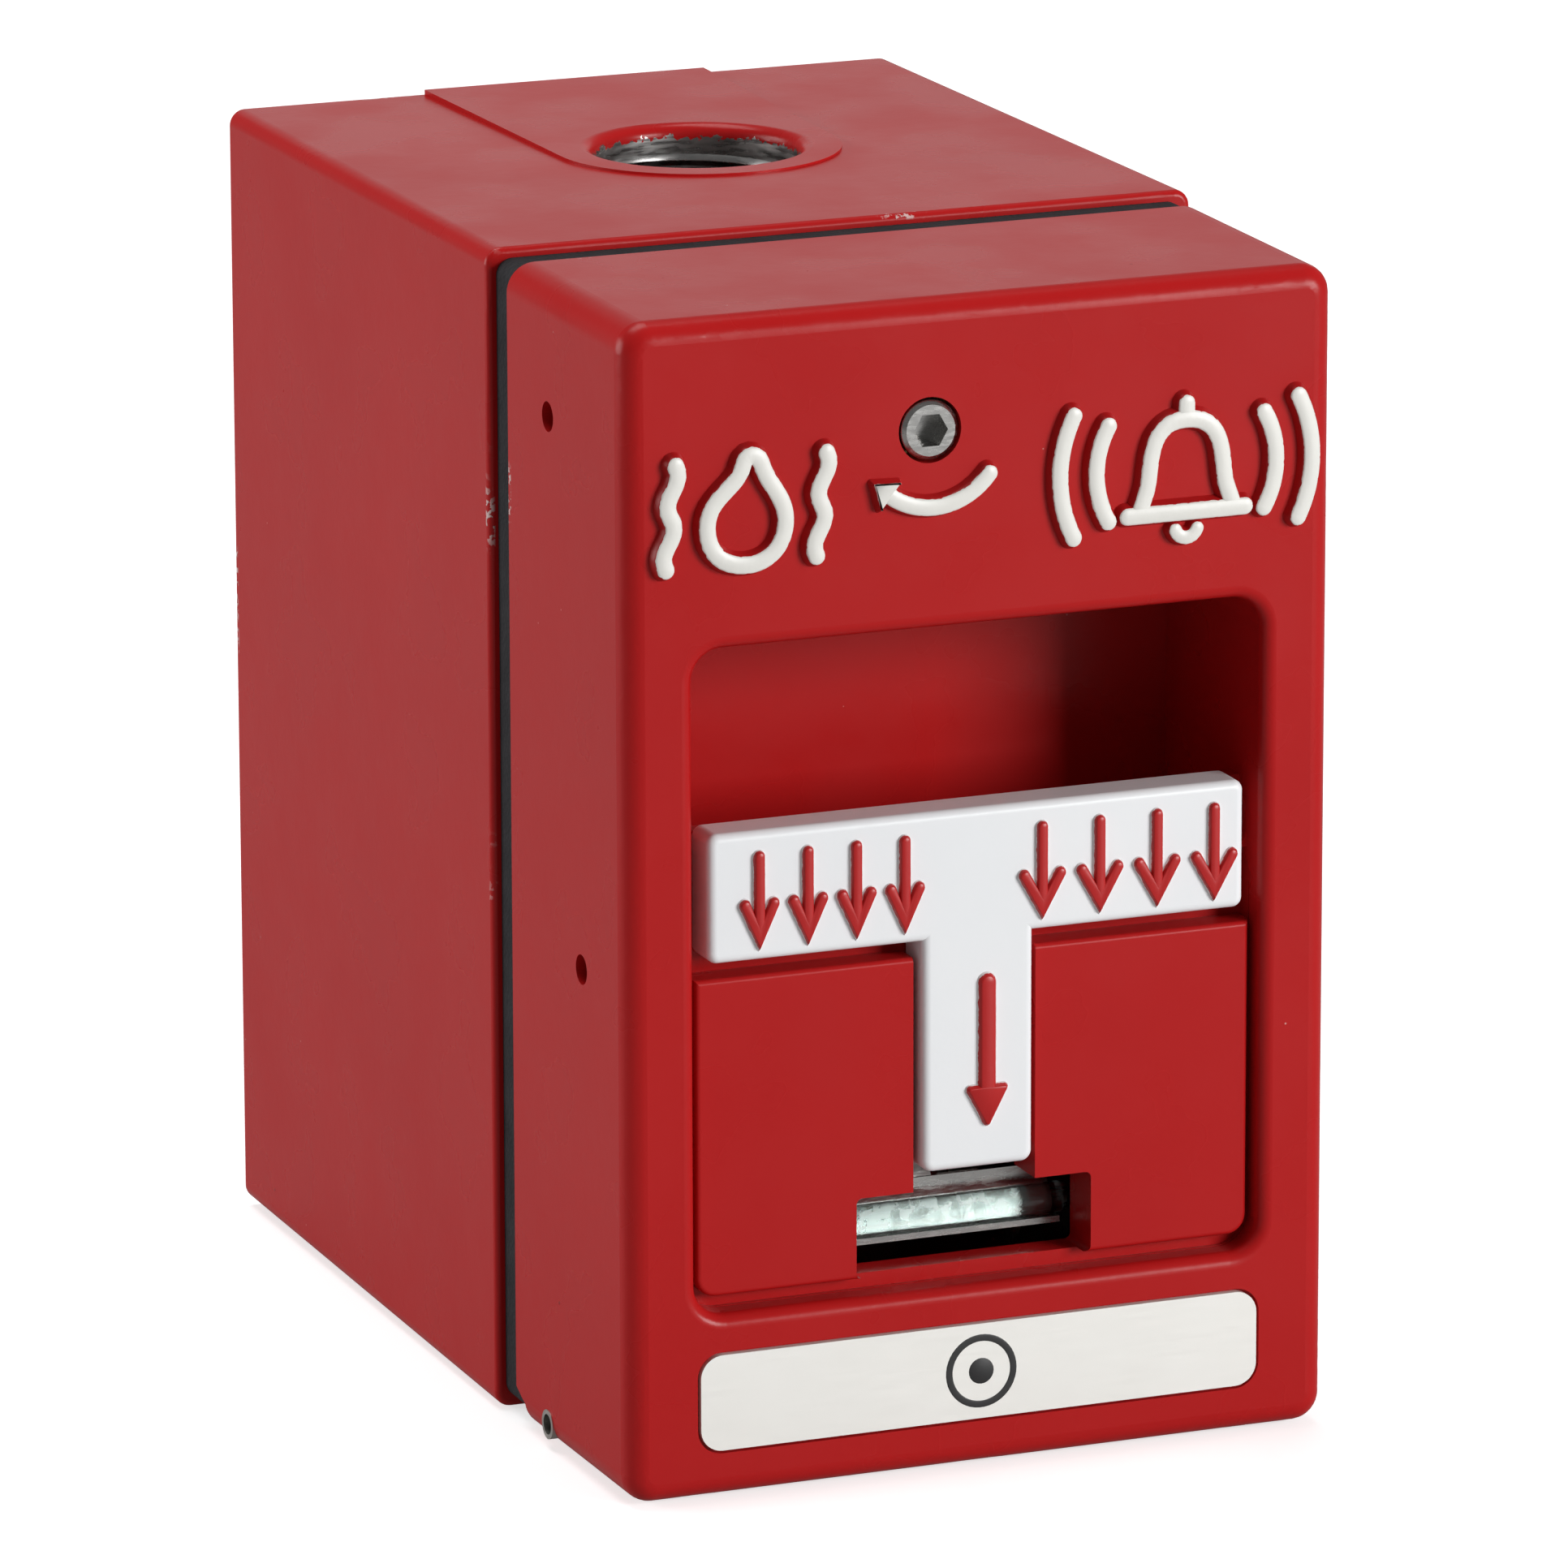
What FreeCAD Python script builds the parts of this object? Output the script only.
import FreeCAD, Part
import math
import os
import re
import Sketcher
from FreeCAD import Placement, Rotation, Vector

# Manual fire-alarm call point: a cast back box on the wall, and a bottom-hinged
# cast cover that carries the pull lever, its break rod and the hex-key lock.
# Frame: +Z up, +Y into the wall, origin at the centre of the box's back face.
# "Depth" in the names below is the distance in front of the wall, so depth = -Y.

SIZES = {
    # how far fused pieces run into one another, how far cuts run past a surface, and
    # how deep posts and cheeks are rooted in the wall that carries them
    "weld": 0.5, "past": 1.0, "root": 2.0,
    # back box, a drafted casting that grows a little towards the front
    "box_width": 72.6, "box_height": 114.6, "box_depth": 74.5, "box_taper": 0.4,
    "box_corner": 1.6, "box_wall": 3.2, "box_back_wall": 3.5, "box_rim_round": 0.6,
    # conduit entry on top
    "conduit_depth": 36.5, "conduit_bore": 20.6, "conduit_boss_wall": 5.0,
    "conduit_boss_drop": 12.0, "conduit_pad_rise": 0.1, "conduit_pad_radius": 14.3,
    "conduit_pad_back": 30.2, "conduit_pad_root": 2.0, "conduit_rim": 1.2,
    # holes in the back wall for the wall screws
    "wall_hole": 5.2, "wall_hole_span_x": 40.0, "wall_hole_span_z": 70.0,
    # posts that carry the inner plate
    "post_size": 9.0, "post_span_x": 44.0, "post_inset_z": 7.5, "plate_gap": 2.0,
    # foam seal between box and cover
    "seal_thickness": 4.7, "seal_inset": 1.0, "seal_width": 3.2,
    # cover, a drafted casting that shrinks towards the front
    "cover_inset_x": 0.3, "cover_inset_z": 0.5, "cover_hang": 0.4, "cover_depth": 29.8,
    "cover_draft_x": 0.1, "cover_draft_z": 0.1, "cover_corner": 2.8,
    "cover_inner_corner": 1.5, "cover_edge_round": 2.1, "cover_wall": 2.8,
    "cover_face": 3.0,
    "rim_notch": 2.3, "rim_notch_height": 3.2, "rim_notch_slope": 1.2,
    # recess in the cover's face, its pads and the finger hollow above them
    "recess_width": 57.8, "recess_top": 25.3, "recess_bottom": 39.2,
    "recess_corner": 3.0, "recess_lip": 1.3, "groove_setback": 3.7, "groove_width": 1.4,
    "groove_side": 0.6,
    "pad_setback": 1.7, "pad_top": 6.8, "pad_round": 0.5, "pad_corner": 2.0,
    "backing_sheet": 3.0, "seat_setback": 5.5, "seat_lap": 0.2, "hollow_setback": 23.0, "hollow_floor": 1.0,
    "ledge_top": 6.7, "ledge_wall": 2.0, "tub_wall": 2.3,
    "slot_gap": 0.6, "slot_over_hub": 2.2, "slot_reach": 8.0,
    "window_width": 24.1, "window_top": 29.8, "window_corner": 0.6, "window_reach": 4.0,
    # nameplate
    "label_width": 57.2, "label_height": 9.4, "label_corner": 2.2, "label_rise": 9.0,
    "label_sheet": 0.8, "label_pocket": 0.7, "label_gap": 0.3,
    # pull lever
    "bar_width": 54.6, "bar_height": 12.5, "bar_bottom": 5.1, "lever_thickness": 4.3,
    "lever_setback": 0.7, "stem_width": 11.3, "stem_bottom": 27.8, "stem_corner": 1.1,
    "lever_round": 0.8, "bar_corner": 1.0, "hub_radius": 3.4, "hub_width": 10.8,
    "web_short": 0.9,
    "pivot_setback": 10.0, "pivot_z": 24.5, "pivot_radius": 1.5, "running_gap": 0.05,
    "cheek_width": 3.0, "cheek_gap": 0.6, "cheek_below": 2.6, "cheek_above": 5.0,
    "cheek_behind": 3.0, "washer_sheet": 0.8, "washer_gap": 0.1, "washer_inset": 0.5,
    "striker_width": 4.0, "striker_sheet": 1.5, "striker_x": 2.8, "striker_reach": 8.5,
    "striker_rise": 3.5, "hub_flat": 2.6,
    # break rod and its clip
    "rod_radius": 1.5, "rod_length": 26.5, "rod_setback": 9.0, "rod_z": 34.2,
    "clip_sheet": 0.6, "clip_half": 11.3, "clip_wing_end": 18.0, "clip_wing_start": 10.4,
    "clip_neck": 1.5, "clip_wing_height": 2.8,
    "clip_post_x": 14.5, "clip_post_z": 28.8, "clip_post_radius": 2.4, "clip_tap": 1.25,
    "clip_tap_length": 4.0, "clip_screw": 1.2, "clip_screw_head": 2.0,
    "clip_screw_rise": 1.2, "clip_screw_length": 4.4, "small_hole": 1.3,
    "tongue_start": 0.7, "tongue_end": 8.0, "tongue_rise": 2.6, "tongue_lean": 1.4,
    # hinge at the bottom
    "hinge_setback": 8.5, "hinge_rise": 1.8, "pin_radius": 1.45, "pin_bore": 1.55,
    "pin_past": 0.5, "pin_proud": 0.1, "pin_wall": 0.45, "ear_sheet": 3.0,
    "ear_radius": 2.2, "ear_gap": 0.6, "ear_arm": 5.0, "ear_bend": 4.0, "ear_step": 2.0,
    "ear_slot_reach": 5.0,
    # drilled holes in the cover's left side
    "side_hole": 2.9, "upper_hole_setback": 10.5, "upper_hole_z": 44.3,
    "lower_hole_setback": 18.3, "lower_hole_z": 7.3,
    # hex-key lock
    "lock_x": 5.3, "lock_drop": 12.9, "lock_bore": 6.3, "lock_head": 5.7,
    "lock_head_height": 4.6, "lock_proud": 0.2, "lock_shaft": 4.2, "lock_bush_length": 6.5,
    "lock_boss": 12.0, "hex_size": 3.0, "hex_depth": 2.6, "pawl_rise": 2.8,
    "pawl_sheet": 2.0, "pawl_reach": 5.4, "pawl_width": 4.4, "nut_size": 5.5,
    "nut_height": 2.4, "lock_washer_sheet": 0.8, "lock_washer_inset": 1.6,
    "lock_bevel": 0.4, "bush_play": 0.1, "pawl_shoulder": 0.6, "pawl_side": 0.4,
    # inner plate with the strike and the hinge ears
    "inner_sheet": 1.5, "inner_clear": 1.1, "ear_clear": 1.6,
    "strike_width": 8.0, "strike_drop": 2.1, "strike_gap": 1.0, "strike_clear": 0.7,
    "screw_radius": 2.0, "screw_clear": 0.2, "screw_head": 3.6, "screw_head_height": 2.2,
    "screw_length": 9.0, "slot_share": 0.15,
    # snap-action switch and its plunger
    "switch_width": 20.0, "switch_height": 19.0, "switch_z": 29.5, "switch_rise": 4.8,
    "switch_clear": 0.3, "switch_length": 27.0, "switch_ear": 6.0, "switch_ear_sheet": 2.5,
    "switch_ear_half": 4.0, "switch_screw": 1.25, "switch_screw_head": 2.2,
    "switch_screw_rise": 1.4, "switch_screw_past": 2.0,
    "tab_x": 5.0, "tab_half_width": 2.4, "tab_half_sheet": 0.4, "tab_length": 7.0,
    "plunger_head": 8.0, "plunger_head_length": 2.5, "plunger_stem": 5.0,
    "plunger_gap": 0.4, "plunger_travel": 4.9, "plunger_guide": 8.0,
    # terminal block and earth screw
    "block_width": 34.0, "block_height": 12.0, "block_rise": 8.0, "block_z": 14.0,
    "terminal_pitch": 8.0, "terminal_radius": 2.6, "terminal_count": 4.0,
    "terminal_clear": 0.4, "terminal_screw": 1.2, "terminal_rise": 1.6,
    "terminal_shank": 2.0, "well_depth": 2.5, "entry_half": 1.6, "entry_low": 1.5,
    "entry_high": 4.5, "entry_reach": 3.0,
    "earth_x": 20.0, "earth_z": 18.0, "earth_radius": 3.4, "earth_skin": 1.0,
}

# How closely an edge has to lie in the place it is looked for.
EXACT = 1e-4
NEAR = 0.1

doc = FreeCAD.newDocument("manual_call_point")
sheet = doc.addObject("Spreadsheet::Sheet", "sizes")
for row, (alias, value) in enumerate(SIZES.items(), start=1):
    sheet.set(f"A{row}", alias)
    sheet.set(f"B{row}", str(value))
    sheet.setAlias(f"B{row}", alias)
doc.recompute()

# Places that several pieces share, as formulas over the sheet's cells.
SEAL_FRONT = "(box_depth + seal_thickness)"
COVER_BACK_WIDTH = "(box_width - 2 * cover_inset_x)"
COVER_BACK_HEIGHT = "(box_height - 2 * cover_inset_z)"
COVER_WIDTH = f"({COVER_BACK_WIDTH} - 2 * cover_draft_x)"
COVER_HEIGHT = f"({COVER_BACK_HEIGHT} - 2 * cover_draft_z)"
COVER_FRONT = f"({SEAL_FRONT} + cover_depth)"
COVER_INNER = f"({COVER_FRONT} - cover_face)"
PAD_FACE = f"({COVER_FRONT} - pad_setback)"
GROOVE_FACE = f"({COVER_FRONT} - groove_setback)"
SEAT_FACE = f"({COVER_FRONT} - seat_setback)"
HOLLOW_BACK = f"({COVER_FRONT} - hollow_setback)"
LEVER_FRONT = f"({COVER_FRONT} - lever_setback)"
LEVER_BACK = f"({LEVER_FRONT} - lever_thickness)"
PIVOT_DEPTH = f"({COVER_FRONT} - pivot_setback)"
ROD_DEPTH = f"({COVER_FRONT} - rod_setback)"
CLIP_FRONT = f"({ROD_DEPTH} - rod_radius)"
CLIP_BACK = f"({CLIP_FRONT} - clip_sheet)"
SLOT_WIDTH = "(stem_width + 2 * slot_gap)"
LABEL_Z = f"({COVER_HEIGHT} / 2 - label_rise)"
HINGE_DEPTH = f"({SEAL_FRONT} + hinge_setback)"
HINGE_Z = f"({COVER_BACK_HEIGHT} / 2 - hinge_rise)"
INNER_HALF = "(box_width / 2 - seal_inset - seal_width - inner_clear)"
INNER_BOTTOM = "(box_height / 2 - seal_inset - seal_width - ear_clear)"
EAR_INNER = f"({INNER_HALF} - ear_sheet)"
PIN_INNER = f"({EAR_INNER} - pin_past)"
UPPER_HOLE = f"({SEAL_FRONT} + upper_hole_setback)"
LOWER_HOLE = f"({SEAL_FRONT} + lower_hole_setback)"
LOCK_Z = "(box_height / 2 - lock_drop)"
STRIKE_LOW = f"({LOCK_Z} + pawl_reach + strike_clear)"
INNER_TOP = f"({STRIKE_LOW} + inner_sheet)"
PAWL_DEPTH = f"({SEAL_FRONT} + pawl_rise)"
SWITCH_FRONT = f"({SEAL_FRONT} + switch_rise)"
INNER_BACK = "(box_depth - plate_gap - inner_sheet)"
INNER_FRONT = "(box_depth - plate_gap)"
POST_Z = "(box_height / 2 - box_wall - post_inset_z)"
LOCK_FRONT = f"({COVER_FRONT} + lock_proud)"
BUSH_FRONT = f"({LOCK_FRONT} - lock_head_height)"
BUSH_BACK = f"({BUSH_FRONT} - lock_bush_length)"
PAWL_FRONT = f"({PAWL_DEPTH} + pawl_sheet)"
STRIKER_FACE = f"({PIVOT_DEPTH} - hub_flat - striker_sheet)"
PLUNGER_FRONT = f"({STRIKER_FACE} - plunger_gap)"
PAD_BOTTOM = "(recess_bottom - groove_width)"

WORD = re.compile(r"\b(?!sizes\b)[a-z][a-z_]*\b")


def bound(formula):
    """The formula with each alias written as a cell of the sheet."""
    return WORD.sub(lambda match: f"sizes.{match.group()}"
                    if match.group() in SIZES else match.group(), str(formula))


def number(formula):
    """The formula's present value, worked out by the sheet itself."""
    result = sheet.evalExpression(str(formula))
    return float(getattr(result, "Value", result))


nodes = {}


def keep(piece, name):
    """Name a finished sub-part; its Label is its node name."""
    piece.Label = name
    nodes[name] = piece
    return piece


# ---- sketches -----------------------------------------------------------------

class Face:
    """A sketch on one of a body's origin planes, moved along its normal."""

    def __init__(self, body, name, plane, offset="0"):
        self.sketch = body.newObject("Sketcher::SketchObject", name)
        role = next(item for item in body.Origin.OriginFeatures if item.Role == plane)
        self.sketch.AttachmentSupport = (role, "")
        self.sketch.MapMode = "FlatFace"
        self.sketch.setExpression("AttachmentOffset.Base.z", bound(offset))

    def tie(self, constraint, formula):
        index = self.sketch.addConstraint(constraint)
        self.sketch.setExpression(f"Constraints[{index}]", bound(formula))

    def corner_at(self, line, point, x, y):
        self.tie(Sketcher.Constraint("DistanceX", -1, 1, line, point, number(x)), x)
        self.tie(Sketcher.Constraint("DistanceY", -1, 1, line, point, number(y)), y)

    def outline(self, points):
        """A closed run of straight lines through points given as formulas."""
        values = [Vector(number(x), number(y), 0) for x, y in points]
        first = self.sketch.GeometryCount
        for index, start in enumerate(values):
            end = values[(index + 1) % len(values)]
            self.sketch.addGeometry(Part.LineSegment(start, end))
        for index, (x, y) in enumerate(points):
            line = first + index
            following = first + (index + 1) % len(points)
            self.sketch.addConstraint(Sketcher.Constraint("Coincident", line, 2, following, 1))
            self.corner_at(line, 1, x, y)
        return self.sketch

    def box(self, left, right, bottom, top):
        return self.outline([(left, bottom), (right, bottom), (right, top), (left, top)])

    def circle(self, radius, x="0", y="0"):
        centre = Vector(number(x), number(y), 0)
        index = self.sketch.addGeometry(Part.Circle(centre, Vector(0, 0, 1), number(radius)))
        self.tie(Sketcher.Constraint("Radius", index, number(radius)), radius)
        self.corner_at(index, 3, x, y)
        return self.sketch

    def rounded(self, left, right, bottom, top, radius):
        """A rectangle whose four corners are tangent arcs of one radius."""
        x0, x1 = number(left), number(right)
        y0, y1 = number(bottom), number(top)
        r = number(radius)
        sketch = self.sketch
        first = sketch.GeometryCount
        ends = [((x0 + r, y0), (x1 - r, y0)), ((x1, y0 + r), (x1, y1 - r)),
                ((x1 - r, y1), (x0 + r, y1)), ((x0, y1 - r), (x0, y0 + r))]
        for (ax, ay), (bx, by) in ends:
            sketch.addGeometry(Part.LineSegment(Vector(ax, ay, 0), Vector(bx, by, 0)))
        centres = [(x1 - r, y0 + r, -90), (x1 - r, y1 - r, 0),
                   (x0 + r, y1 - r, 90), (x0 + r, y0 + r, 180)]
        for cx, cy, start in centres:
            full = Part.Circle(Vector(cx, cy, 0), Vector(0, 0, 1), r)
            low = math.radians(start)
            sketch.addGeometry(Part.ArcOfCircle(full, low, low + math.pi / 2))
        for index in range(4):
            line = first + index
            arc = first + 4 + index
            following = first + (index + 1) % 4
            sketch.addConstraint(Sketcher.Constraint("Tangent", line, 2, arc, 1))
            sketch.addConstraint(Sketcher.Constraint("Tangent", arc, 2, following, 1))
        for index, kind in enumerate(("Horizontal", "Vertical", "Horizontal", "Vertical")):
            sketch.addConstraint(Sketcher.Constraint(kind, first + index))
        for index in range(1, 4):
            sketch.addConstraint(Sketcher.Constraint("Equal", first + 4, first + 4 + index))
        self.tie(Sketcher.Constraint("Radius", first + 4, r), radius)
        self.tie(Sketcher.Constraint("DistanceY", -1, 1, first, 1, y0), bottom)
        self.tie(Sketcher.Constraint("DistanceX", -1, 1, first + 1, 1, x1), right)
        self.tie(Sketcher.Constraint("DistanceY", -1, 1, first + 2, 1, y1), top)
        self.tie(Sketcher.Constraint("DistanceX", -1, 1, first + 3, 1, x0), left)
        return sketch


def new_body(name):
    return doc.addObject("PartDesign::Body", name)


def feature(body, kind, name, sketch, length=None, midplane=False, backwards=False):
    item = body.newObject(f"PartDesign::{kind}", name)
    item.Profile = sketch
    if length is not None:
        item.Length = number(length)
        item.setExpression("Length", bound(length))
    if midplane:
        item.Midplane = True
    if backwards:
        item.Reversed = True
    sketch.Visibility = False
    return item


def volume(body):
    doc.recompute()
    return body.Shape.Volume


def pad(body, name, sketch, length, **options):
    """Add material in front of the sketch's plane and check that it was added."""
    before = volume(body) if body.Tip else 0.0
    item = feature(body, "Pad", name, sketch, length, **options)
    if volume(body) <= before:
        raise ValueError(f"{name} added nothing")
    return item


def pocket(body, name, sketch, length, **options):
    """Cut behind the sketch's plane and check that something was cut."""
    before = volume(body)
    item = feature(body, "Pocket", name, sketch, length, **options)
    if volume(body) >= before:
        raise ValueError(f"{name} cut nothing")
    return item


def loft(body, kind, name, sketches):
    item = body.newObject(f"PartDesign::{kind}", name)
    item.Profile = sketches[0]
    item.Sections = sketches[1:]
    item.Ruled = True
    doc.recompute()
    return item


def fillet(body, name, base, radius, wanted):
    """Round the edges of the base feature that the test picks out."""
    doc.recompute()
    edges = [f"Edge{index}" for index, edge in enumerate(base.Shape.Edges, start=1)
             if wanted(edge)]
    if not edges:
        raise ValueError(f"{name} found no edge")
    item = body.newObject("PartDesign::Fillet", name)
    item.Base = (base, edges)
    item.Radius = number(radius)
    item.setExpression("Radius", bound(radius))
    doc.recompute()
    return item


def on_depth(depth):
    """A test for edges that lie wholly in the plane at this depth."""
    place = -number(depth)
    return lambda edge: (abs(edge.BoundBox.YMin - place) < EXACT
                         and abs(edge.BoundBox.YMax - place) < EXACT)


# ---- primitives for the small hardware ----------------------------------------

TURNED = {"front": Rotation(Vector(1, 0, 0), 90), "right": Rotation(Vector(0, 1, 0), 90),
          "up": Rotation()}


def seat(piece, x, depth, z, axis="front"):
    """Stand a primitive's base at (x, depth, z), its own Z along the named axis."""
    piece.Placement = Placement(Vector(0, 0, 0), TURNED[axis])
    piece.setExpression("Placement.Base.x", bound(x))
    piece.setExpression("Placement.Base.y", bound(f"-({depth})"))
    piece.setExpression("Placement.Base.z", bound(z))
    return piece


def rod(name, radius, length, x, depth, z, axis="front"):
    piece = doc.addObject("Part::Cylinder", name)
    piece.setExpression("Radius", bound(radius))
    piece.setExpression("Height", bound(length))
    return seat(piece, x, depth, z, axis)


def prism(name, across, length, x, depth, z):
    """A hexagonal bar given by its size across the flats."""
    piece = doc.addObject("Part::Prism", name)
    piece.Polygon = 6
    piece.setExpression("Circumradius", bound(f"({across}) / sqrt(3)"))
    piece.setExpression("Height", bound(length))
    return seat(piece, x, depth, z)


def block(name, x0, x1, depth0, depth1, z0, z1):
    """A box between two depths, the first nearer the wall."""
    piece = doc.addObject("Part::Box", name)
    piece.setExpression("Length", bound(f"({x1}) - ({x0})"))
    piece.setExpression("Width", bound(f"({depth1}) - ({depth0})"))
    piece.setExpression("Height", bound(f"({z1}) - ({z0})"))
    return seat(piece, x0, depth1, z0, "up")


def cut(name, base, tool):
    piece = doc.addObject("Part::Cut", name)
    piece.Base = base
    piece.Tool = tool
    return piece


def fuse(name, *pieces):
    piece = doc.addObject("Part::MultiFuse", name)
    piece.Shapes = list(pieces)
    piece.Refine = True
    return piece


def group(name, pieces):
    piece = doc.addObject("Part::Compound", name)
    piece.Links = pieces
    return keep(piece, name)


def slotted_screw(name, radius, head, head_height, length, x, depth, z):
    """A screw whose head sits in front of depth and whose shank runs back from it."""
    shank = rod(f"{name}_shank", radius, length, x, f"({depth}) - ({length})", z)
    cap = rod(f"{name}_cap", head, head_height, x, depth, z)
    slot = block(f"{name}_slot", f"({x}) - ({head}) - past", f"({x}) + ({head}) + past",
                 f"({depth}) + ({head_height}) / 2", f"({depth}) + ({head_height}) + past",
                 f"({z}) - ({head}) * slot_share", f"({z}) + ({head}) * slot_share")
    return cut(f"{name}_cut", fuse(f"{name}_fuse", shank, cap), slot)


SIDES = (("left", "-1"), ("right", "1"))
ENDS = (("bottom", "-1"), ("top", "1"))


def back_box():
    body = new_body("back_box")
    at_wall = Face(body, "box_wall_outline", "XZ_Plane").rounded(
        "-(box_width / 2 - box_taper)", "box_width / 2 - box_taper",
        "-(box_height / 2 - box_taper)", "box_height / 2 - box_taper", "box_corner")
    at_front = Face(body, "box_front_outline", "XZ_Plane", "box_depth").rounded(
        "-box_width / 2", "box_width / 2", "-box_height / 2", "box_height / 2",
        "box_corner")
    loft(body, "AdditiveLoft", "box_shell", [at_wall, at_front])
    # The pad round the conduit entry: a tapered tongue with a round front end.
    top = "(box_height / 2 - box_taper)"
    pad_face = Face(body, "conduit_pad_outline", "XY_Plane", f"{top} - conduit_pad_root")
    conduit_tongue(pad_face)
    pad(body, "conduit_pad", pad_face.sketch, "conduit_pad_root + conduit_pad_rise + box_taper")
    # The hollow inside, open at the front.
    inside = Face(body, "box_inside", "XZ_Plane", "box_depth").rounded(
        "-(box_width / 2 - box_taper - box_wall)", "box_width / 2 - box_taper - box_wall",
        "-(box_height / 2 - box_taper - box_wall)",
        "box_height / 2 - box_taper - box_wall", "box_corner")
    pocket(body, "box_hollow", inside, "box_depth - box_back_wall")
    # Four posts run forward from the back wall to carry the inner plate.
    posts = Face(body, "post_outline", "XZ_Plane", "box_back_wall - past")
    for _, sx in SIDES:
        for _, sz in ENDS:
            far = f"{sz} * (box_height / 2 - box_wall / 2 - box_taper)"
            near = f"{sz} * ({POST_Z} - post_size / 2)"
            low, high = (far, near) if sz == "-1" else (near, far)
            posts.box(f"{sx} * post_span_x / 2 - post_size / 2",
                      f"{sx} * post_span_x / 2 + post_size / 2", low, high)
    pad(body, "posts", posts.sketch, f"{INNER_BACK} - box_back_wall + past")
    # The boss that the conduit's thread is cut in.
    boss = Face(body, "conduit_boss_outline", "XY_Plane", top)
    boss.circle("conduit_bore / 2 + conduit_boss_wall", "0", "-conduit_depth")
    pad(body, "conduit_boss", boss.sketch, "conduit_boss_drop", backwards=True)
    bore = Face(body, "conduit_bore_outline", "XY_Plane",
                f"{top} + box_taper + conduit_pad_rise")
    bore.circle("conduit_bore / 2", "0", "-conduit_depth")
    pocket(body, "conduit_hole", bore.sketch,
           "conduit_boss_drop + box_taper + conduit_pad_rise + past")
    holes = Face(body, "wall_hole_outline", "XZ_Plane", "box_back_wall + past")
    for _, sx in SIDES:
        for _, sz in ENDS:
            holes.circle("wall_hole / 2", f"{sx} * wall_hole_span_x / 2",
                         f"{sz} * wall_hole_span_z / 2")
    pocket(body, "wall_holes", holes.sketch, "box_back_wall + 2 * past")
    # Tapped holes in the posts, and one in the back wall for the earth screw.
    taps = Face(body, "tap_outline", "XZ_Plane", INNER_BACK)
    for _, sx in SIDES:
        for _, sz in ENDS:
            taps.circle("screw_radius", f"{sx} * post_span_x / 2", f"{sz} * {POST_Z}")
    pocket(body, "taps", taps.sketch, "screw_length")
    earth = Face(body, "earth_tap_outline", "XZ_Plane", "box_back_wall")
    earth.circle("screw_radius", "earth_x", "-earth_z")
    tip = pocket(body, "earth_tap", earth.sketch, "box_back_wall - earth_skin")
    # Soft edges: the outer front rim, then the mouth of the conduit hole.
    half = number("box_width") / 2
    high = number("box_height") / 2
    edge_band = number("box_wall / 2")
    front = on_depth("box_depth")
    tip = fillet(body, "rim_round", tip, "box_rim_round",
                 lambda edge: front(edge) and (
                     abs(edge.CenterOfMass.x) > half - edge_band or
                     abs(edge.CenterOfMass.z) > high - edge_band))
    mouth = number(f"{top} + box_taper + conduit_pad_rise")
    fillet(body, "conduit_rim_round", tip, "conduit_rim",
           lambda edge: abs(edge.BoundBox.ZMin - mouth) < EXACT
           and abs(edge.BoundBox.XLength - number("conduit_bore")) < 10 * EXACT)
    keep(body, "back_box")


def conduit_tongue(face):
    """Outline of the raised pad: straight sides that meet its round end tangentially."""
    sketch = face.sketch
    radius = number("conduit_pad_radius")
    centre = Vector(0, -number("conduit_depth"), 0)
    back = number("conduit_pad_back") / 2
    reach = math.hypot(back, number("conduit_depth"))
    lean = math.acos(radius / reach) - math.atan2(number("conduit_depth"), back)
    end = centre + Vector(radius * math.cos(-lean), radius * math.sin(-lean), 0)
    mirrored = Vector(-end.x, end.y, 0)
    full = Part.Circle(centre, Vector(0, 0, 1), radius)
    sketch.addGeometry(Part.ArcOfCircle(full, math.pi + lean, 2 * math.pi - lean))
    sketch.addGeometry(Part.LineSegment(end, Vector(back, 0, 0)))
    sketch.addGeometry(Part.LineSegment(Vector(back, 0, 0), Vector(-back, 0, 0)))
    sketch.addGeometry(Part.LineSegment(Vector(-back, 0, 0), mirrored))
    sketch.addConstraint(Sketcher.Constraint("Tangent", 0, 2, 1, 1))
    sketch.addConstraint(Sketcher.Constraint("Coincident", 1, 2, 2, 1))
    sketch.addConstraint(Sketcher.Constraint("Coincident", 2, 2, 3, 1))
    sketch.addConstraint(Sketcher.Constraint("Tangent", 3, 2, 0, 1))
    face.tie(Sketcher.Constraint("Radius", 0, radius), "conduit_pad_radius")
    face.corner_at(0, 3, "0", "-conduit_depth")
    face.corner_at(2, 1, "conduit_pad_back / 2", "0")
    face.corner_at(2, 2, "-conduit_pad_back / 2", "0")


def box_gasket():
    body = new_body("box_gasket")
    ring = Face(body, "seal_outline", "XZ_Plane", "box_depth")
    ring.rounded("-(box_width / 2 - seal_inset)", "box_width / 2 - seal_inset",
                 "-(box_height / 2 - seal_inset)", "box_height / 2 - seal_inset",
                 "box_corner")
    inner = "(seal_inset + seal_width)"
    ring.box(f"-(box_width / 2 - {inner})", f"box_width / 2 - {inner}",
             f"-(box_height / 2 - {inner})", f"box_height / 2 - {inner}")
    pad(body, "seal", ring.sketch, "seal_thickness")
    keep(body, "box_gasket")


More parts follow.
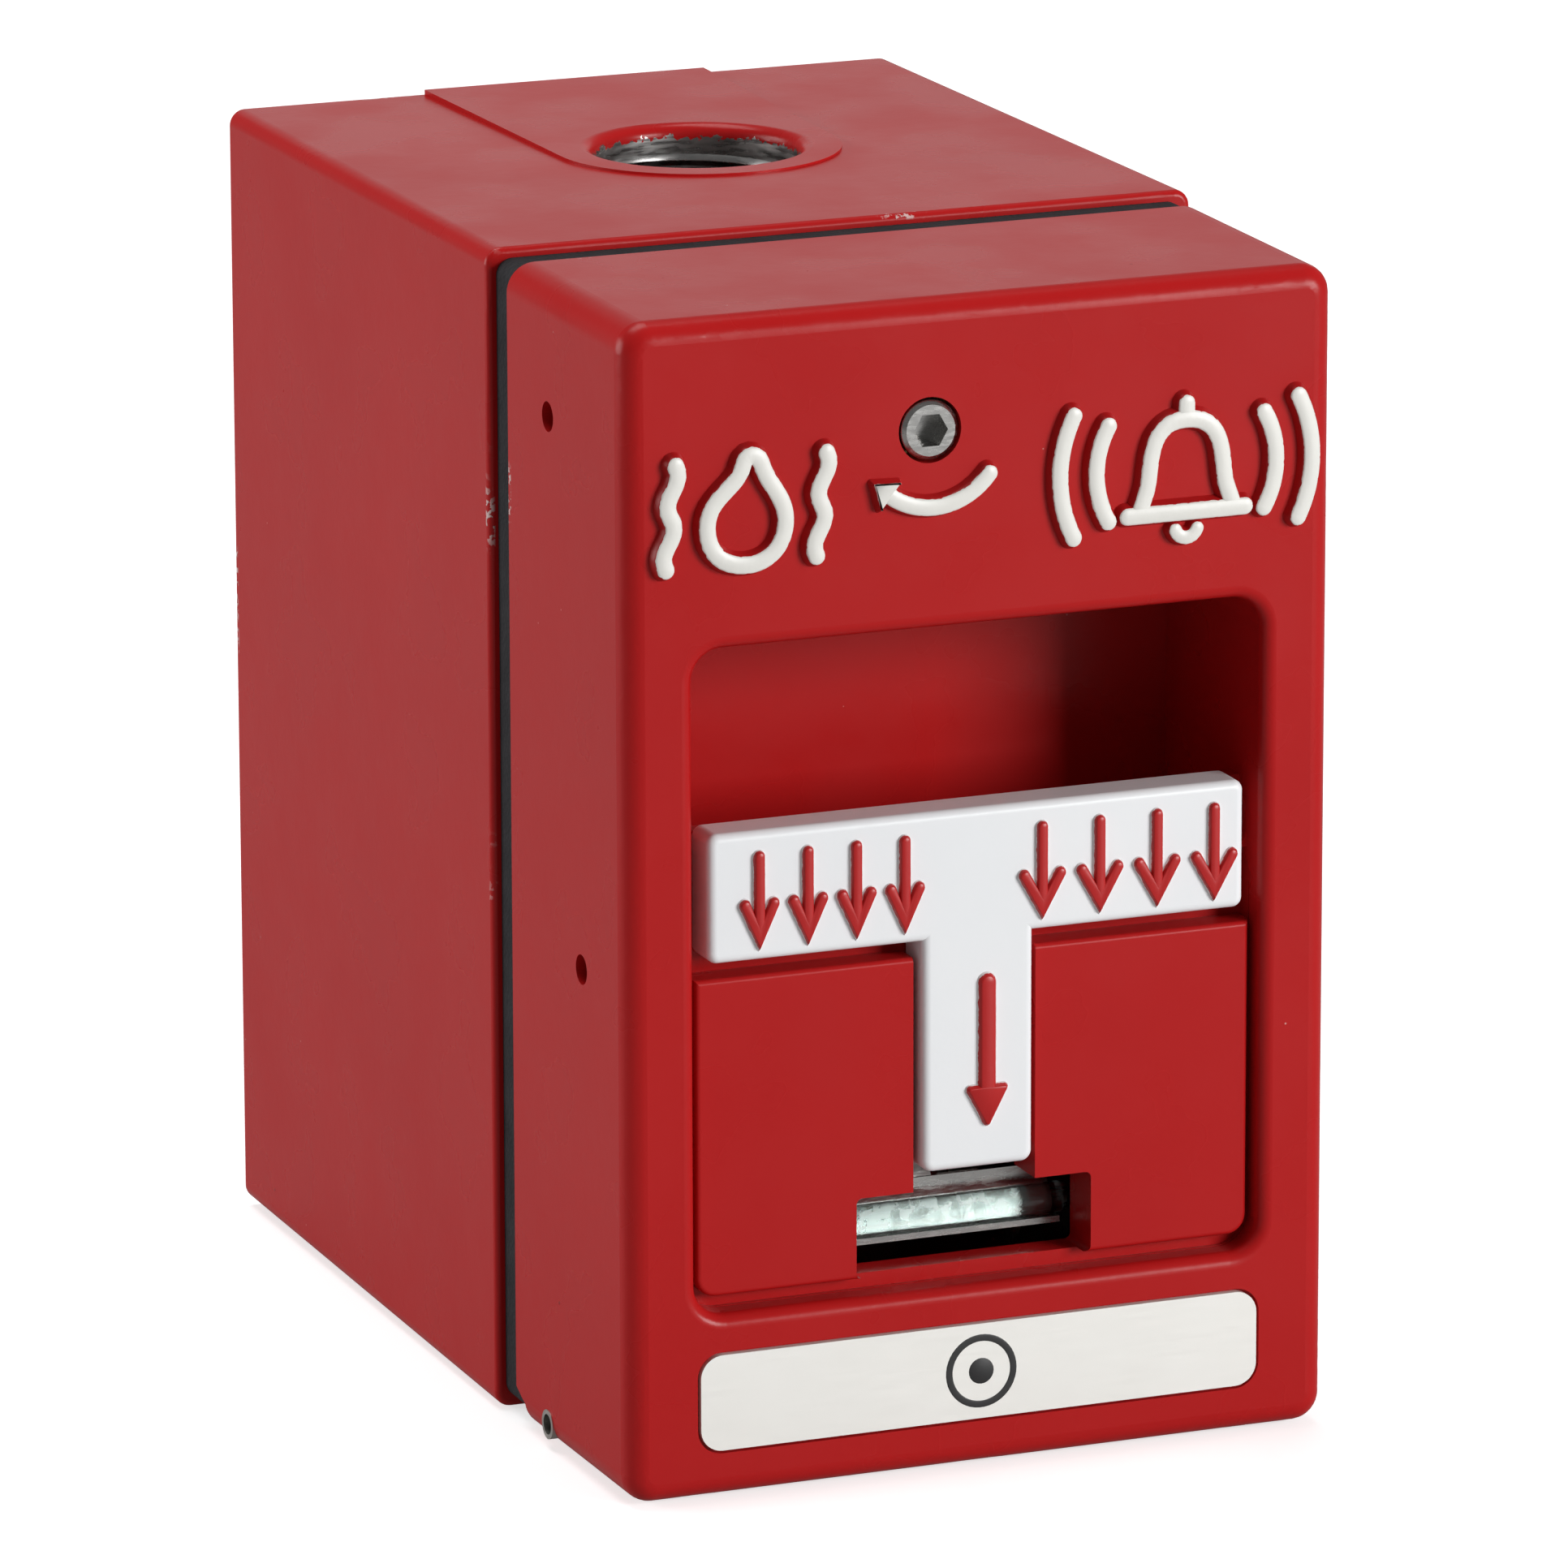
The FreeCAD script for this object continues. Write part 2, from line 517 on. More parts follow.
def inner_plate():
    body = new_body("inner_plate")
    plate = Face(body, "inner_outline", "XZ_Plane", INNER_BACK)
    plate.box(f"-{INNER_HALF}", INNER_HALF, f"-{INNER_BOTTOM}", INNER_TOP)
    opening_x = "(switch_width / 2 + switch_clear)"
    opening_z = "(switch_height / 2 + switch_clear)"
    plate.box(f"-{opening_x}", opening_x, f"-(switch_z + {opening_z})",
              f"-(switch_z - {opening_z})")
    for _, sx in SIDES:
        for _, sz in ENDS:
            plate.circle("screw_radius + screw_clear", f"{sx} * post_span_x / 2",
                         f"{sz} * {POST_Z}")
        plate.circle("small_hole", f"{sx} * (switch_width / 2 + switch_ear / 2)", "-switch_z")
    pad(body, "inner_sheet_metal", plate.sketch, "inner_sheet")
    # The strike: an arm forward over the pawl with a lip turned down in front of it.
    lip_back = f"({PAWL_FRONT} + strike_gap)"
    strike = Face(body, "strike_outline", "YZ_Plane", "-lock_x")
    strike.outline([
        (f"-({INNER_FRONT} - weld)", STRIKE_LOW),
        (f"-{lip_back}", STRIKE_LOW),
        (f"-{lip_back}", f"{STRIKE_LOW} - strike_drop"),
        (f"-({lip_back} + inner_sheet)", f"{STRIKE_LOW} - strike_drop"),
        (f"-({lip_back} + inner_sheet)", f"{STRIKE_LOW} + inner_sheet"),
        (f"-({INNER_FRONT} - weld)", f"{STRIKE_LOW} + inner_sheet")])
    pad(body, "strike", strike.sketch, "strike_width", midplane=True)
    # Two hinge ears: an arm forward through the seal, then down to the pin's eye.
    for side, sign in SIDES:
        ear = Face(body, f"ear_{side}_outline", "YZ_Plane",
                   f"{sign} * ({EAR_INNER} + ear_sheet / 2)")
        ear.outline([
            (f"-({INNER_FRONT} - weld)", f"-{INNER_BOTTOM}"),
            (f"-({HINGE_DEPTH} - ear_radius - ear_bend)", f"-{INNER_BOTTOM}"),
            (f"-({HINGE_DEPTH} - ear_radius)", f"-{HINGE_Z}"),
            (f"-({HINGE_DEPTH} + ear_radius)", f"-{HINGE_Z}"),
            (f"-({HINGE_DEPTH} + ear_radius)", f"-({HINGE_Z} - ear_step)"),
            (f"-({HINGE_DEPTH} - ear_radius)", f"-({INNER_BOTTOM} - ear_arm)"),
            (f"-({INNER_FRONT} - weld)", f"-({INNER_BOTTOM} - ear_arm)")])
        pad(body, f"ear_{side}", ear.sketch, "ear_sheet", midplane=True)
        eye = Face(body, f"eye_{side}_outline", "YZ_Plane",
                   f"{sign} * ({EAR_INNER} + ear_sheet / 2)")
        eye.circle("ear_radius", f"-{HINGE_DEPTH}", f"-{HINGE_Z}")
        pad(body, f"eye_{side}", eye.sketch, "ear_sheet", midplane=True)
    hole = Face(body, "eye_hole_outline", "YZ_Plane")
    hole.circle("pin_bore", f"-{HINGE_DEPTH}", f"-{HINGE_Z}")
    pocket(body, "eye_holes", hole.sketch, f"2 * {INNER_HALF} + 2 * past", midplane=True)
    keep(body, "inner_plate")


def cover():
    body = new_body("cover")
    outlines = []
    for name, depth, width, height in (
            ("cover_back_outline", SEAL_FRONT, COVER_BACK_WIDTH, COVER_BACK_HEIGHT),
            ("cover_front_outline", COVER_FRONT, COVER_WIDTH, COVER_HEIGHT)):
        outlines.append(Face(body, name, "XZ_Plane", depth).rounded(
            f"-{width} / 2", f"{width} / 2", f"-({height} / 2 + cover_hang)",
            f"{height} / 2", "cover_corner"))
    tip = loft(body, "AdditiveLoft", "cover_shell", outlines)
    front = on_depth(COVER_FRONT)
    tip = fillet(body, "cover_front_round", tip, "cover_edge_round", front)
    inside = Face(body, "cover_inside", "XZ_Plane", SEAL_FRONT).rounded(
        f"-({COVER_WIDTH} / 2 - cover_wall)", f"{COVER_WIDTH} / 2 - cover_wall",
        f"-({COVER_HEIGHT} / 2 - cover_wall + cover_draft_z)",
        f"{COVER_HEIGHT} / 2 - cover_wall", "cover_inner_corner")
    pocket(body, "cover_hollow", inside, "cover_depth - cover_face", backwards=True)
    tub_x = "(recess_width / 2 + tub_wall)"
    # The finger hollow's tub, then the plate behind the lower pads.
    tub = Face(body, "tub_outline", "XZ_Plane", f"{HOLLOW_BACK} - tub_wall")
    tub.box(f"-{tub_x}", tub_x, "-(hollow_floor + tub_wall)", "recess_top + tub_wall")
    pad(body, "tub", tub.sketch, "hollow_setback + tub_wall - cover_face + past")
    backing = Face(body, "backing_outline", "XZ_Plane", f"{GROOVE_FACE} - backing_sheet")
    backing.box(f"-{tub_x}", tub_x, "-(recess_bottom + tub_wall)", "-hollow_floor")
    pad(body, "backing", backing.sketch, "backing_sheet + weld")
    # The recess in three depths: groove level, the lever bar's seat, finger hollow.
    recess = Face(body, "recess_outline", "XZ_Plane", COVER_FRONT).rounded(
        "-recess_width / 2", "recess_width / 2", "-recess_bottom", "recess_top",
        "recess_corner")
    tip = pocket(body, "recess", recess, "groove_setback")
    tip = fillet(body, "recess_lip_round", tip, "recess_lip",
                 lambda edge: front(edge)
                 and abs(edge.CenterOfMass.x) < number("recess_width") / 2 + NEAR
                 and -number("recess_bottom") - NEAR < edge.CenterOfMass.z
                 < number("recess_top") + NEAR)
    seat_face = Face(body, "seat_outline", "XZ_Plane", GROOVE_FACE)
    seat_face.box("-recess_width / 2", "recess_width / 2", "-(pad_top + seat_lap)", "0")
    pocket(body, "seat", seat_face.sketch, "seat_setback - groove_setback")
    hollow = Face(body, "hollow_outline", "XZ_Plane", GROOVE_FACE).rounded(
        "-recess_width / 2", "recess_width / 2", "-hollow_floor", "recess_top",
        "recess_corner")
    pocket(body, "finger_hollow", hollow, "hollow_setback - groove_setback")
    ledge = Face(body, "ledge_outline", "XZ_Plane", f"{SEAT_FACE} - ledge_wall")
    ledge.box(f"-{tub_x}", tub_x, "-(hollow_floor + past)", "ledge_top")
    pad(body, "ledge", ledge.sketch, "ledge_wall")
    # The raised pads left and right of the stem, in one piece before the slot is cut.
    pads = Face(body, "pad_outline", "XZ_Plane", f"{GROOVE_FACE} - weld")
    pad_x = "(recess_width / 2 - groove_side)"
    pads.box(f"-{pad_x}", pad_x, f"-{PAD_BOTTOM}", "-pad_top")
    tip = pad(body, "pads", pads.sketch, "groove_setback - pad_setback + weld")
    side, foot = number(pad_x), number(PAD_BOTTOM)
    tip = fillet(body, "pad_corner_round", tip, "pad_corner",
                 lambda edge: edge.BoundBox.YLength > NEAR
                 and abs(edge.BoundBox.ZMin + foot) < EXACT
                 and abs(edge.BoundBox.ZMax + foot) < EXACT
                 and abs(abs(edge.CenterOfMass.x) - side) < EXACT)
    tip = fillet(body, "pad_edge_round", tip, "pad_round", on_depth(PAD_FACE))
    # Cheeks that hold the lever's pivot pin, and posts for the rod clip's screws.
    for side, sign in SIDES:
        cheek = Face(body, f"cheek_{side}_outline", "YZ_Plane",
                     f"{sign} * ({SLOT_WIDTH} / 2 + cheek_gap + cheek_width / 2)")
        cheek.box(f"-({GROOVE_FACE} - root)", f"-({PIVOT_DEPTH} - cheek_behind)",
                  "-(pivot_z + cheek_below)", "-(pivot_z - cheek_above)")
        pad(body, f"cheek_{side}", cheek.sketch, "cheek_width", midplane=True)
    clip_posts = Face(body, "clip_post_outline", "XZ_Plane", CLIP_FRONT)
    for _, sign in SIDES:
        clip_posts.circle("clip_post_radius", f"{sign} * clip_post_x", "-clip_post_z")
    pad(body, "clip_posts", clip_posts.sketch, f"{GROOVE_FACE} - root - {CLIP_FRONT}")
    clip_taps = Face(body, "clip_tap_outline", "XZ_Plane", CLIP_FRONT)
    for _, sign in SIDES:
        clip_taps.circle("clip_tap", f"{sign} * clip_post_x", "-clip_post_z")
    pocket(body, "clip_taps", clip_taps.sketch, "clip_tap_length", backwards=True)
    # The slot for the stem and hub, opening into the window at its foot.
    slot = Face(body, "slot_outline", "XZ_Plane", COVER_FRONT)
    slot.box(f"-{SLOT_WIDTH} / 2", f"{SLOT_WIDTH} / 2", "-(window_top + past)",
             "-(pad_top - slot_gap)")
    pocket(body, "slot", slot.sketch, "seat_setback")
    through = Face(body, "slot_through_outline", "XZ_Plane", COVER_FRONT)
    through.box(f"-{SLOT_WIDTH} / 2", f"{SLOT_WIDTH} / 2", "-(window_top + past)",
                "-(pivot_z - hub_radius - slot_over_hub)")
    pocket(body, "slot_through", through.sketch, "groove_setback + slot_reach")
    window = Face(body, "window_outline", "XZ_Plane", COVER_FRONT)
    window.rounded("-window_width / 2", "window_width / 2", f"-{PAD_BOTTOM}",
                   "-window_top", "window_corner")
    pocket(body, "window", window.sketch, "groove_setback + window_reach")
    pin_hole = Face(body, "pivot_hole_outline", "YZ_Plane")
    pin_hole.circle("pivot_radius", f"-{PIVOT_DEPTH}", "-pivot_z")
    pocket(body, "pivot_hole", pin_hole.sketch,
           f"{SLOT_WIDTH} + 2 * cheek_gap + 2 * cheek_width + past", midplane=True)
    # The lock's boss and its stepless bore.
    boss = Face(body, "lock_boss_outline", "XZ_Plane", BUSH_BACK)
    boss.circle("lock_boss / 2", "-lock_x", LOCK_Z)
    pad(body, "lock_boss_pad", boss.sketch, f"{COVER_INNER} - {BUSH_BACK} + weld")
    bore = Face(body, "lock_bore_outline", "XZ_Plane", COVER_FRONT)
    bore.circle("lock_bore / 2", "-lock_x", LOCK_Z)
    pocket(body, "lock_hole", bore.sketch, f"{COVER_FRONT} - {BUSH_BACK} + past")
    plate = Face(body, "label_pocket_outline", "XZ_Plane", COVER_FRONT)
    plate.rounded("-(label_width / 2 + label_gap)", "label_width / 2 + label_gap",
                  f"-({LABEL_Z} + label_height / 2 + label_gap)",
                  f"-({LABEL_Z} - label_height / 2 - label_gap)",
                  "label_corner + label_gap")
    pocket(body, "label_pocket_cut", plate.sketch, "label_pocket")
    cover_hinge(body)
    for name, depth, z in (("upper_side_hole", UPPER_HOLE, "upper_hole_z"),
                           ("lower_side_hole", LOWER_HOLE, "-lower_hole_z")):
        hole = Face(body, f"{name}_outline", "YZ_Plane",
                    f"-{COVER_WIDTH} / 2 + cover_wall + weld")
        hole.circle("side_hole / 2", f"-{depth}", z)
        pocket(body, name, hole.sketch, "cover_wall + 2 * past")
    keep(body, "cover")


def cover_hinge(body):
    """Hinge details of the cover: ear slots, pin bores and the cut-back lower rim."""
    for side, sign in SIDES:
        slot = Face(body, f"ear_slot_{side}_outline", "XY_Plane",
                    f"-{COVER_BACK_HEIGHT} / 2 - cover_hang - past")
        inner = f"{sign} * ({EAR_INNER} - ear_gap)"
        outer = f"{sign} * ({EAR_INNER} + ear_sheet + ear_gap)"
        low, high = (outer, inner) if sign == "-1" else (inner, outer)
        slot.box(low, high, f"-({HINGE_DEPTH} + ear_radius + ear_gap)",
                 f"-({SEAL_FRONT} - past)")
        pocket(body, f"ear_slot_{side}", slot.sketch, "cover_wall + ear_slot_reach",
               backwards=True)
        bore = Face(body, f"pin_bore_{side}_outline", "YZ_Plane",
                    f"{sign} * {PIN_INNER}")
        bore.circle("pin_radius", f"-{HINGE_DEPTH}", f"-{HINGE_Z}")
        pocket(body, f"pin_bore_{side}", bore.sketch, f"{COVER_WIDTH} / 2",
               backwards=sign == "1")
    notch = Face(body, "rim_notch_outline", "YZ_Plane")
    height = f"({COVER_BACK_HEIGHT} / 2)"
    behind = f"-({SEAL_FRONT} - past)"
    step = f"-({SEAL_FRONT} + rim_notch)"
    below = f"-({height} + cover_hang + past)"
    top = f"-({height} - rim_notch_height)"
    notch.outline([(behind, below), (step, below), (step, f"{top} - rim_notch_slope"),
                   (f"-{SEAL_FRONT}", top), (behind, top)])
    pocket(body, "rim_notch_cut", notch.sketch, "box_width + 2 * past", midplane=True)


def nameplate():
    body = new_body("nameplate")
    face = Face(body, "nameplate_outline", "XZ_Plane", f"{COVER_FRONT} - label_pocket")
    face.rounded("-label_width / 2", "label_width / 2", f"-({LABEL_Z} + label_height / 2)",
                 f"-({LABEL_Z} - label_height / 2)", "label_corner")
    pad(body, "nameplate_sheet", face.sketch, "label_sheet")
    keep(body, "nameplate")


def lever():
    body = new_body("lever")
    face = Face(body, "lever_outline", "XZ_Plane", LEVER_BACK)
    bar_top = "(bar_height - bar_bottom)"
    face.outline([("-bar_width / 2", "-bar_bottom"), ("-stem_width / 2", "-bar_bottom"),
                  ("-stem_width / 2", "-stem_bottom"), ("stem_width / 2", "-stem_bottom"),
                  ("stem_width / 2", "-bar_bottom"), ("bar_width / 2", "-bar_bottom"),
                  ("bar_width / 2", bar_top), ("-bar_width / 2", bar_top)])
    tip = pad(body, "lever_plate", face.sketch, "lever_thickness")
    foot = number("stem_bottom")
    tip = fillet(body, "lever_foot_round", tip, "stem_corner",
                 lambda edge: abs(edge.BoundBox.ZMax + foot) < EXACT
                 and edge.BoundBox.YLength > 1 and edge.BoundBox.XLength < EXACT)
    end = number("bar_width / 2")
    tip = fillet(body, "bar_corner_round", tip, "bar_corner",
                 lambda edge: abs(abs(edge.CenterOfMass.x) - end) < EXACT
                 and edge.BoundBox.YLength > 1 and edge.BoundBox.XLength < EXACT
                 and edge.BoundBox.ZLength < EXACT)
    tip = fillet(body, "lever_front_round", tip, "lever_round", on_depth(LEVER_FRONT))
    hub = Face(body, "hub_outline", "YZ_Plane")
    hub.circle("hub_radius", f"-{PIVOT_DEPTH}", "-pivot_z")
    pad(body, "hub", hub.sketch, "hub_width", midplane=True)
    web = Face(body, "hub_web_outline", "YZ_Plane")
    web.box(f"-({LEVER_BACK} + weld)", f"-{PIVOT_DEPTH}", "-(pivot_z + hub_radius - web_short)",
            "-(pivot_z - hub_radius)")
    pad(body, "hub_web", web.sketch, "hub_width", midplane=True)
    flat = Face(body, "hub_flat_outline", "XZ_Plane", f"{PIVOT_DEPTH} - hub_flat")
    flat.box("-hub_width", "hub_width", "-(pivot_z + 2 * hub_radius)",
             "-(pivot_z - 2 * hub_radius)")
    pocket(body, "hub_flat_cut", flat.sketch, "hub_radius")
    bore = Face(body, "hub_bore_outline", "YZ_Plane")
    bore.circle("pivot_radius + running_gap", f"-{PIVOT_DEPTH}", "-pivot_z")
    pocket(body, "hub_bore", bore.sketch, "hub_width + 2 * past", midplane=True)
    keep(body, "lever")


def lever_hardware():
    half = f"({SLOT_WIDTH} / 2 + cheek_gap + cheek_width)"
    keep(rod("pivot_pin", "pivot_radius", f"2 * {half}", f"-{half}", PIVOT_DEPTH, "-pivot_z",
             "right"), "pivot_pin")
    washers = []
    for side, sign in SIDES:
        start = f"{sign} * (hub_width / 2 + washer_gap) - (1 - ({sign})) / 2 * washer_sheet"
        disc = rod(f"washer_{side}_disc", "hub_radius - washer_inset", "washer_sheet", start,
                   PIVOT_DEPTH, "-pivot_z", "right")
        hole = rod(f"washer_{side}_hole", "pivot_radius + running_gap",
                   "washer_sheet + 2 * past", f"{start} - past", PIVOT_DEPTH, "-pivot_z", "right")
        washers.append(cut(f"washer_{side}", disc, hole))
    group("pivot_washers", washers)
    # The striker: a steel leaf on the hub's flat that pushes the switch plunger.
    leaf = block("striker_leaf", "striker_x - striker_width / 2",
                 "striker_x + striker_width / 2", STRIKER_FACE,
                 f"{PIVOT_DEPTH} - hub_flat", "-(pivot_z + striker_reach)",
                 "-(pivot_z - striker_rise)")
    keep(leaf, "striker")


def rod_clip():
    body = new_body("rod_clip")
    lip_top = "(rod_z + rod_radius)"
    face = Face(body, "clip_outline", "XZ_Plane", CLIP_BACK)
    neck = "(rod_z - rod_radius - clip_neck)"
    wing_top = "(clip_post_z - clip_wing_height)"
    face.outline([("-clip_half", f"-({lip_top} + clip_sheet)"),
                  ("clip_half", f"-({lip_top} + clip_sheet)"), ("clip_half", f"-{neck}"),
                  ("clip_wing_end", f"-{neck}"), ("clip_wing_end", f"-{wing_top}"),
                  ("clip_wing_start", f"-{wing_top}"), ("clip_wing_start", f"-{neck}"),
                  ("-clip_wing_start", f"-{neck}"), ("-clip_wing_start", f"-{wing_top}"),
                  ("-clip_wing_end", f"-{wing_top}"), ("-clip_wing_end", f"-{neck}"),
                  ("-clip_half", f"-{neck}")])
    for _, sign in SIDES:
        face.circle("small_hole", f"{sign} * clip_post_x", "-clip_post_z")
    pad(body, "clip_back", face.sketch, "clip_sheet")
    lip = Face(body, "clip_lip_outline", "XZ_Plane", CLIP_BACK)
    lip.box("-clip_half", "clip_half", f"-({lip_top} + clip_sheet)", f"-{lip_top}")
    pad(body, "clip_lip", lip.sketch, "clip_sheet + 2 * rod_radius")
    tongue = Face(body, "clip_tongue_outline", "YZ_Plane", "-(tongue_start + tongue_end) / 2")
    foot = f"-({neck} + clip_sheet)"
    tongue.outline([(f"-{CLIP_BACK}", foot), (f"-{CLIP_FRONT}", foot),
                    (f"-({CLIP_FRONT} - tongue_lean)", f"-({neck} - tongue_rise)"),
                    (f"-({CLIP_BACK} - tongue_lean)", f"-({neck} - tongue_rise)")])
    pad(body, "clip_tongue", tongue.sketch, "tongue_end - tongue_start", midplane=True)
    keep(body, "rod_clip")


def break_rod():
    body = new_body("break_rod")
    half = "(rod_length / 2)"
    reach = number(f"{half} - rod_radius")
    radius = number("rod_radius")
    face = Face(body, "rod_outline", "XY_Plane", "-rod_z")
    sketch = face.sketch
    depth = -number(ROD_DEPTH)
    right = Part.Circle(Vector(reach, depth, 0), Vector(0, 0, 1), radius)
    left = Part.Circle(Vector(-reach, depth, 0), Vector(0, 0, 1), radius)
    sketch.addGeometry(Part.ArcOfCircle(right, 0, math.pi / 2))
    sketch.addGeometry(Part.LineSegment(Vector(reach, depth + radius, 0),
                                        Vector(-reach, depth + radius, 0)))
    sketch.addGeometry(Part.ArcOfCircle(left, math.pi / 2, math.pi))
    sketch.addGeometry(Part.LineSegment(Vector(-reach - radius, depth, 0),
                                        Vector(reach + radius, depth, 0)))
    sketch.addConstraint(Sketcher.Constraint("Tangent", 0, 2, 1, 1))
    sketch.addConstraint(Sketcher.Constraint("Tangent", 1, 2, 2, 1))
    sketch.addConstraint(Sketcher.Constraint("Coincident", 2, 2, 3, 1))
    sketch.addConstraint(Sketcher.Constraint("Coincident", 3, 2, 0, 1))
    sketch.addConstraint(Sketcher.Constraint("Equal", 0, 2))
    sketch.addConstraint(Sketcher.Constraint("Horizontal", 3))
    sketch.addConstraint(Sketcher.Constraint("PointOnObject", 0, 3, 3))
    face.tie(Sketcher.Constraint("Radius", 0, radius), "rod_radius")
    face.corner_at(0, 3, f"{half} - rod_radius", f"-{ROD_DEPTH}")
    face.tie(Sketcher.Constraint("DistanceX", -1, 1, 2, 3, -reach), f"-({half} - rod_radius)")
    turned = feature(body, "Revolution", "rod_turned", sketch)
    turned.ReferenceAxis = (sketch, ["Edge4"])
    turned.Angle = 360
    doc.recompute()
    keep(body, "break_rod")


def hinge_pins():
    pins = []
    length = f"({COVER_WIDTH} / 2 + cover_draft_x / 2 + pin_proud - {PIN_INNER})"
    for side, sign in SIDES:
        start = f"-{PIN_INNER} - " + length if sign == "-1" else PIN_INNER
        tube = rod(f"pin_{side}_tube", "pin_radius", length, start, HINGE_DEPTH, f"-{HINGE_Z}",
                   "right")
        hole = rod(f"pin_{side}_hole", "pin_radius - pin_wall", f"{length} + 2 * past",
                   f"{start} - past", HINGE_DEPTH, f"-{HINGE_Z}", "right")
        pins.append(cut(f"pin_{side}", tube, hole))
    group("hinge_pins", pins)


def clip_screws():
    screws = [slotted_screw(f"clip_screw_{side}", "clip_screw", "clip_screw_head",
                            "clip_screw_rise", "clip_screw_length",
                            f"{sign} * clip_post_x", CLIP_BACK, "-clip_post_z")
              for side, sign in SIDES]
    for screw in screws:
        turn_round(screw, CLIP_BACK)
    group("clip_screws", screws)


def turn_round(screw, depth):
    """Face a screw towards the wall, turned about its seat's level."""
    screw.Placement = Placement(Vector(0, 0, 0), Rotation(Vector(0, 0, 1), 180))
    screw.setExpression("Placement.Base.y", bound(f"-2 * ({depth})"))


def lock():
    head = fuse("lock_screw_fuse",
                rod("lock_head_rod", "lock_head / 2", "lock_head_height", "-lock_x",
                    BUSH_FRONT, LOCK_Z),
                rod("lock_shaft_rod", "lock_shaft / 2",
                    f"{BUSH_FRONT} - {PAWL_DEPTH} + nut_height", "-lock_x",
                    f"{PAWL_DEPTH} - nut_height", LOCK_Z))
    socket = prism("lock_socket", "hex_size", "hex_depth + past", "-lock_x",
                   f"{LOCK_FRONT} - hex_depth", LOCK_Z)
    screw = cut("lock_screw_cut", head, socket)
    bevelled = doc.addObject("Part::Chamfer", "lock_screw_chamfer")
    bevelled.Base = screw
    doc.recompute()
    rim = -number(LOCK_FRONT)
    edges = [index for index, edge in enumerate(screw.Shape.Edges, start=1)
             if abs(edge.BoundBox.YMin - rim) < EXACT and abs(edge.BoundBox.YMax - rim) < EXACT
             and abs(edge.BoundBox.XLength - number("lock_head")) < 10 * EXACT]
    bevel = number("lock_bevel")
    bevelled.Edges = [(index, bevel, bevel) for index in edges]
    keep(bevelled, "lock_screw")
    bush = cut("lock_bush_cut",
               rod("lock_bush_rod", "lock_bore / 2", "lock_bush_length - bush_play", "-lock_x",
                   BUSH_BACK, LOCK_Z),
               rod("lock_bush_hole", "lock_shaft / 2 + running_gap", "lock_bush_length + 2 * past",
                   "-lock_x", f"{BUSH_BACK} - past", LOCK_Z))
    keep(bush, "lock_bush")
    washer = cut("lock_washer_cut",
                 rod("lock_washer_disc", "lock_boss / 2 - lock_washer_inset",
                     "lock_washer_sheet", "-lock_x",
                     PAWL_FRONT, LOCK_Z),
                 rod("lock_washer_hole", "lock_shaft / 2", "lock_washer_sheet + 2 * past",
                     "-lock_x", f"{PAWL_FRONT} - past", LOCK_Z))
    keep(washer, "lock_washer")
    arm = fuse("pawl_fuse",
               rod("pawl_disc", "pawl_width / 2 + pawl_shoulder", "pawl_sheet", "-lock_x",
                   PAWL_DEPTH, LOCK_Z),
               block("pawl_arm", "-lock_x", "-lock_x + pawl_reach", PAWL_DEPTH,
                     PAWL_FRONT, f"{LOCK_Z} - pawl_width / 2 + pawl_side",
                     f"{LOCK_Z} + pawl_width / 2 - pawl_side"))
    pawl = cut("pawl_cut", arm,
               rod("pawl_hole", "lock_shaft / 2", "pawl_sheet + 2 * past", "-lock_x",
                   f"{PAWL_DEPTH} - past", LOCK_Z))
    keep(pawl, "lock_pawl")
    nut = cut("lock_nut_cut",
              prism("lock_nut_prism", "nut_size", "nut_height", "-lock_x",
                    f"{PAWL_DEPTH} - nut_height", LOCK_Z),
              rod("lock_nut_hole", "lock_shaft / 2", "nut_height + 2 * past", "-lock_x",
                  f"{PAWL_DEPTH} - nut_height - past", LOCK_Z))
    keep(nut, "lock_nut")


def plate_screws():
    screws = []
    for side, sx in SIDES:
        for end, sz in ENDS:
            screws.append(slotted_screw(f"plate_screw_{side}_{end}", "screw_radius",
                                        "screw_head", "screw_head_height",
                                        "screw_length", f"{sx} * post_span_x / 2",
                                        INNER_FRONT, f"{sz} * {POST_Z}"))
    group("plate_screws", screws)


